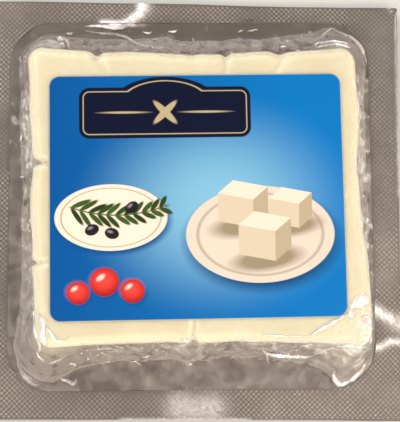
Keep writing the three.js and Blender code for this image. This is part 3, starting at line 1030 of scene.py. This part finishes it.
def short_creases():
    """Short bent creases scattered on the tent, each in the same form as the folds above."""
    chance = np.random.default_rng(11)
    creases = []
    for side, many, start, end in crumple_sets:
        place = chance.uniform(start, end, many)
        stations = Stations(np.full(many, side), place, np.zeros(many, dtype=bool))
        near, foot = block_edge(stations, 0), tent_foot(stations)
        middles = near + (foot - near) * chance.uniform(0.1, 0.95, many)[:, None]
        for middle in middles:
            heading = math.radians(90 * side) + chance.normal(0, crease_swerve)
            reach = chance.uniform(*crease_half_lengths)
            run = reach * np.array([math.cos(heading), math.sin(heading)])
            bend = chance.normal(0, crease_bend) * np.array([-run[1], run[0]])
            # How white its painted highlight is
            painted_white = 0.2 + 0.75 * chance.uniform() ** 1.6
            width = chance.uniform(*crease_widths)
            creases.append(([middle - run, middle + bend, middle + run], width, crease_height, painted_white))
    return creases


def smooth_route(points, step):
    """A smooth line through the points, in even steps."""
    points = np.array(points, dtype=float)
    padded = np.vstack([2 * points[0] - points[1], points, 2 * points[-1] - points[-2]])
    route = []
    for i in range(1, len(padded) - 2):
        a, b, c, d = padded[i - 1 : i + 3]
        pieces = max(2, int(np.linalg.norm(c - b) / step))
        for t in np.arange(pieces) / pieces:
            bent = (2 * a - 5 * b + 4 * c - d) * t**2 + (3 * b - a - 3 * c + d) * t**3
            route.append(0.5 * (2 * b + (c - a) * t + bent))
    route.append(points[-1])
    return np.array(route)


def on_film(x, y):
    """The point of the film below a place, and the way its surface faces there."""
    above = Vector((x * mm, y * mm, 2 * block_top * mm))
    hit, normal, _, _ = film_sheet.ray_cast(above, Vector((0, 0, -1)))
    if hit is None:
        return np.array([x, y, seal_top]), np.array([0, 0, 1.0])
    return np.array(hit) / mm, np.array(normal)


def evened(values):
    """Values along a line, each drawn closer to its neighbours three times over."""
    for _ in range(3):
        values[1:-1] = (values[:-2] + 2 * values[1:-1] + values[2:]) / 4
    return values


def of_length_one(vectors):
    return vectors / np.linalg.norm(vectors, axis=1)[:, None]


def welt(points, width, height, painted_white):
    """Rings of points round one fold lying on the film, and how white the painted highlight makes each
    ring's points.
    """
    route = smooth_route(points, welt_step)
    if painted_white > well_painted:
        width, height = 1.35 * width, 1.3 * height
        stray = [[noise.noise(Vector((x, y, level)) / 1.1) for level in (5, 55)] for x, y in route]
        route = route + jag * np.array(stray)
    landed = [on_film(x, y) for x, y in route]
    spots = evened(np.array([spot for spot, _ in landed]))
    normals = of_length_one(evened(np.array([normal for _, normal in landed]) + upright))
    sideways = of_length_one(np.cross(of_length_one(np.gradient(spots, axis=0)), normals))
    angles = 2 * np.pi * np.arange(welt_sides) / welt_sides
    lift = np.where(np.sin(angles) > 0, height, welt_sunk) * np.sin(angles)
    rings, painted_whiteness = [], []
    for k, (spot, normal, side) in enumerate(zip(spots, normals, sideways)):
        taper = max(thinnest, math.sin(math.pi * k / (len(spots) - 1)) ** 0.5)
        taper *= 0.85 + 0.3 * noise.noise(Vector(spot) / 1.3)
        out = np.outer(width / 2 * taper * np.cos(angles), side)
        rings.append(spot + out + np.outer(lift * taper + 0.02, normal))
        # The painted highlight is whitest along the welt's top and fades towards its ends
        painted_whiteness.append(painted_white * (0.75 + 0.25 * lift / height) * min(1, taper + 0.2))
    return rings, painted_whiteness


fold_points, fold_faces, fold_painted_white = [], [], []
for points, width, height, painted_white in [*folds.values(), *short_creases()]:
    first = len(fold_points)
    rings, painted_whiteness = welt(points, width, height, painted_white)
    fold_points += [point for ring in rings for point in ring]
    fold_painted_white += [level for ring in painted_whiteness for level in ring]
    for k in range(len(rings) - 1):
        start = first + k * welt_sides
        for m in range(welt_sides):
            n = (m + 1) % welt_sides
            fold_faces.append((start + m, start + n, start + welt_sides + n, start + welt_sides + m))
    last = first + (len(rings) - 1) * welt_sides
    fold_faces.append(tuple(first + m for m in reversed(range(welt_sides))))
    fold_faces.append(tuple(last + m for m in range(welt_sides)))
fold_mesh = bpy.data.meshes.new("film_folds")
fold_mesh.from_pydata((np.array(fold_points) * mm).tolist(), [], fold_faces)
fold_mesh.shade_smooth()
fold_mesh.materials.append(film_finish)
film_folds = linked("film_folds", fold_mesh)
give(film_folds, "milk_and_glare", fold_painted_white)
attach(film_folds, "root")
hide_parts("sealed_pack")

# The label
# Glossy printed paper with rounded corners, stuck to the film over the face. Its print is plain
# fields of colour with a small still life of diced cheese, an olive branch and berries.
label = Outline(85.5, 71.3, 3.2, 0.4, 1.4, 1.5, 0)
label_base = 25.62
label_thickness = 0.2
label_bevel = 0.04
label_wave = 0.06
label_wave_size = 16
navy = (0.002, 0.004, 0.02)
deep_blue = (0.0, 0.074, 0.27)
bright_blue = (0.0, 0.148, 0.43)
pale_blue = (0.22, 0.48, 0.62)
line_gold = (0.42, 0.34, 0.19)
plate_shade = (0.0, 0.045, 0.15)
plate_cream = (0.66, 0.56, 0.46)
plate_line = (0.36, 0.3, 0.22)
cube_shade = (0.3, 0.23, 0.15)
cube_front = (0.6, 0.5, 0.36)
cube_side = (0.44, 0.35, 0.23)
cube_top = (0.72, 0.64, 0.51)
medallion_shade = (0.0, 0.06, 0.2)
medallion_cream = (0.8, 0.66, 0.54)
stem_brown = (0.12, 0.1, 0.03)
leaf_green = (0.035, 0.085, 0.014)
olive_dark = (0.012, 0.011, 0.015)
olive_light = (0.3, 0.28, 0.3)
berry_shade = (0.002, 0.07, 0.25)
berry_red = (0.36, 0.01, 0.011)
berry_bright = (0.8, 0.06, 0.04)
berry_light = (0.95, 0.6, 0.5)
paper_grey = (0.42, 0.41, 0.38)
# Everything is placed from the label's middle. Bars and ovals: middle, half length and half width,
# and a bar's corner radius
plaque_bar = (-9, 24.5, 25, 7.5, 3)
plaque_dome = (-9, 27.5, 15, 7.6)
plaque_star = (-9, 24.6, 4.6, 1.0)
plaque_rays = [(-21, 24.6, 6.5, 0.32), (3, 24.6, 6.5, 0.32)]
plate = (18, -11.5, 21.5, 14)
plate_shadow = (18.5, -13.3, 21.5, 14)
medallion = (-25, -6, 16.2, 9.6)
medallion_shadow = (-24.5, -7, 16.4, 9.6)
# A cube's half edges across, back and up, as shares of its size
cube_edges = [(0.46, -0.09), (0.2, 0.17), (0, 0.37)]
stem_start = (-36.5, -3)
stem_joints = 12
stem_step = 2.55  # from one pair of leaves to the next
stem_fall = 0.9  # how far it falls with each pair at first
stem_bow = 0.085  # how fast it bends up from that
# Middles, with the size of a cube, the turn of an olive and a berry's radius
cubes = [(11, -4.5, 11), (25, -5.5, 9.5), (17, -14, 11.5)]
olives = [(-30.5, -9.5, 20), (-24.8, -10.6, -15), (-19, -3.2, 40)]
berries = [(-27, -24.5, 4.1), (-19, -27.2, 3.4), (-34.5, -27.6, 3.2)]


class Print:
    """The print's node tree: shapes in millimetres from the label's middle, laid one over another.
    A shape is the distance outside its edge, less than nothing inside it."""

    def __init__(self, material_name):
        self.material, self.tree = new_material(material_name)
        middle = {
            "Vector": node(self.tree, "ShaderNodeTexCoord").outputs["Object"],
            "Location": (label.x * mm, label.y * mm, 0),
            "Rotation": (0, 0, math.radians(label.turn)),
            "Scale": (mm, mm, mm),
        }
        self.place = node(self.tree, "ShaderNodeMapping", middle, vector_type="TEXTURE").outputs["Vector"]
        self.colour = None

    def math(self, operation, *values):
        return maths(self.tree, operation, *values)

    def local(self, x, y, turn=0):
        """The place measured from a point, along axes turned by some degrees."""
        point = {"Vector": self.place, "Location": (x, y, 0), "Rotation": (0, 0, math.radians(turn))}
        measured = node(self.tree, "ShaderNodeMapping", point, vector_type="TEXTURE")
        split = node(self.tree, "ShaderNodeSeparateXYZ", {0: measured.outputs[0]})
        return split.outputs[0], split.outputs[1]

    def hypot(self, a, b):
        return self.math("SQRT", self.math("ADD", self.math("MULTIPLY", a, a), self.math("MULTIPLY", b, b)))

    def bar(self, x, y, half_length, half_width, radius, turn=0):
        """A rounded bar."""
        u, v = self.local(x, y, turn)
        du = self.math("SUBTRACT", self.math("ABSOLUTE", u), half_length - radius)
        dv = self.math("SUBTRACT", self.math("ABSOLUTE", v), half_width - radius)
        outside = self.hypot(self.math("MAXIMUM", du, 0), self.math("MAXIMUM", dv, 0))
        inside = self.math("MINIMUM", self.math("MAXIMUM", du, dv), 0)
        return self.math("SUBTRACT", self.math("ADD", outside, inside), radius)

    def oval(self, x, y, half_length, half_width, turn=0):
        """An oval, with a distance that is near enough for an edge."""
        u, v = self.local(x, y, turn)
        reach = self.hypot(self.math("DIVIDE", u, half_length), self.math("DIVIDE", v, half_width))
        return self.math("MULTIPLY", self.math("SUBTRACT", reach, 1), half_width)

    def slant(self, x, y, across, up):
        """A parallelogram with a middle and two half sides."""
        size = across[0] * up[1] - across[1] * up[0]
        u, v = self.local(x, y)
        one = self.difference(u, up[1] / size, v, up[0] / size)
        other = self.difference(v, across[0] / size, u, across[1] / size)
        outside = self.math("SUBTRACT", self.math("MAXIMUM", one, other), 1)
        return self.math("MULTIPLY", outside, min(math.hypot(*across), math.hypot(*up)))

    def difference(self, a, a_share, b, b_share):
        """How far apart a share of one value and a share of another are."""
        gap = self.math("SUBTRACT", self.math("MULTIPLY", a, a_share), self.math("MULTIPLY", b, b_share))
        return self.math("ABSOLUTE", gap)

    def fill(self, shape, colour, soft=0.12):
        """Fills a shape with a colour, over an edge of that softness."""
        self.lay(remap(self.tree, shape, soft, -soft), colour)

    def line(self, shape, inset, half_width, colour, soft=0.1):
        """Draws a line round a shape, some way in from its edge."""
        away = self.math("ABSOLUTE", self.math("ADD", shape, inset))
        self.fill(self.math("SUBTRACT", away, half_width), colour, soft)

    def lay(self, share, colour):
        self.colour = blended(self.tree, share, self.colour, (*colour, 1))

    def glow(self, x, y, near, far, flat=1.0):
        """1 close to a point, fading to 0 with distance."""
        u, v = self.local(x, y)
        reach = self.hypot(u, self.math("MULTIPLY", v, flat))
        return remap(self.tree, reach, far, near, interpolation_type="SMOOTHSTEP")


def draw_ground(paint):
    """Blue, deeper to the left, with a pale glow behind the still life."""
    u, _ = paint.local(0, 0)
    paint.colour = ramp(paint.tree, remap(paint.tree, u, -42, 30), [(0, deep_blue), (1, bright_blue)])
    paint.lay(paint.math("MULTIPLY", paint.glow(6, -3, 4, 44, 1.25), 0.85), pale_blue)


def draw_plaque(paint):
    """A navy plaque with a domed top and a fine line round it, hung from the upper edge."""
    plaque = paint.math("MINIMUM", paint.bar(*plaque_bar), paint.oval(*plaque_dome))
    paint.fill(plaque, navy)
    paint.line(plaque, 1.2, 0.16, line_gold)
    for turn in (45, 135):
        paint.fill(paint.oval(*plaque_star, turn), line_gold)
    for ray in plaque_rays:
        paint.fill(paint.oval(*ray), line_gold)


def draw_plate(paint):
    """A cream plate, with its rim, for the cheese to lie on."""
    paint.fill(paint.oval(*plate_shadow), plate_shade, 1.8)
    dish = paint.oval(*plate)
    paint.fill(dish, plate_cream)
    paint.line(dish, 2.2, 0.22, plate_line, 0.3)


def draw_cube(paint, x, y, size):
    """A cube of cheese seen from a corner: a shadow, a front, a side and a light top."""
    across, back, up = [(size * dx, size * dy) for dx, dy in cube_edges]
    shadow = paint.oval(x + 0.25 * size, y - 0.4 * size, 0.85 * size, 0.28 * size, 8)
    paint.fill(shadow, cube_shade, 0.9)
    faces = (
        ((0, 0), across, up, cube_front),
        ((across[0] + back[0], across[1] + back[1]), back, up, cube_side),
        ((back[0] + up[0], back[1] + up[1]), across, back, cube_top),
    )
    for (dx, dy), one, other, colour in faces:
        paint.fill(paint.slant(x + dx, y + dy, one, other), colour)


def draw_branch(paint):
    """A cream oval with an olive branch on it: a bowed stem, paired leaves and a few dark olives."""
    paint.fill(paint.oval(*medallion_shadow), medallion_shade, 0.8)
    disc = paint.oval(*medallion)
    paint.fill(disc, medallion_cream)
    paint.line(disc, 1.1, 0.14, line_gold)
    x, y = stem_start
    stem = [(x + stem_step * i, y - stem_fall * i + stem_bow * i * i) for i in range(stem_joints)]
    for i, ((x, y), (next_x, next_y)) in enumerate(zip(stem, stem[1:])):
        turn = math.degrees(math.atan2(next_y - y, next_x - x))
        paint.fill(paint.oval((x + next_x) / 2, (y + next_y) / 2, 1.6, 0.22, turn), stem_brown)
        for side in (1, -1):
            lean = turn + side * (38 + 5 * math.sin(2.1 * i))
            length = 3.1 - 0.11 * i
            reach = (x + length * math.cos(math.radians(lean)), y + length * math.sin(math.radians(lean)))
            shade = 0.75 + 0.3 * math.sin(1.7 * i + side)
            green = tuple(channel * shade for channel in leaf_green)
            paint.fill(paint.oval(*reach, length, 0.72, lean), green)
    for x, y, turn in olives:
        paint.fill(paint.oval(x, y, 2.1, 1.6, turn), olive_dark)
        paint.fill(paint.oval(x - 0.5, y + 0.5, 0.6, 0.3, turn), olive_light, 0.3)


def draw_berries(paint):
    """Three red berries with a soft light on each."""
    for x, y, radius in berries:
        paint.fill(paint.oval(x + 0.4, y - 0.9, radius * 1.05, radius * 0.95), berry_shade, 0.8)
        paint.fill(paint.oval(x, y, radius, radius), berry_red)
        paint.fill(paint.oval(x - 0.3, y + 0.5, radius * 0.7, radius * 0.6), berry_bright, 1.6)
        paint.fill(paint.oval(x - 1.1, y + 1.3, radius * 0.3, radius * 0.16, 35), berry_light, 0.3)


paint = Print("label_print")
draw_ground(paint)
draw_plaque(paint)
draw_plate(paint)
for x, y, size in cubes:
    draw_cube(paint, x, y, size)
draw_branch(paint)
draw_berries(paint)
paper_edge = paint.bar(0, 0, label.length / 2, label.width / 2, label.radius)
paint.line(paper_edge, 0, 0.22, paper_grey, 0.08)
gloss = {"Base Color": paint.colour, "Roughness": 0.22, "Specular IOR Level": 0.1}
finish_with(paint.tree, node(paint.tree, "ShaderNodeBsdfPrincipled", gloss))

label_stations = stations_round(60, 8)
label_top = []
for inset in (33, 26, 20, 14, 9, 5, 2.5, 1, 0.3, 0):
    line = follow(label, label_stations, -inset)
    soft_edge = label_bevel if inset == 0 else 0
    wave = label_wave * waved(line, label_wave_size, 3)
    label_top.append(with_height(line, label_base + label_thickness + wave - soft_edge))
label_under = [line - np.array([0, 0, label_thickness - label_bevel]) for line in reversed(label_top)]
label_piece = skin("printed_label", label_top + label_under, paint.material)
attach(label_piece, "root")
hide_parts("label")
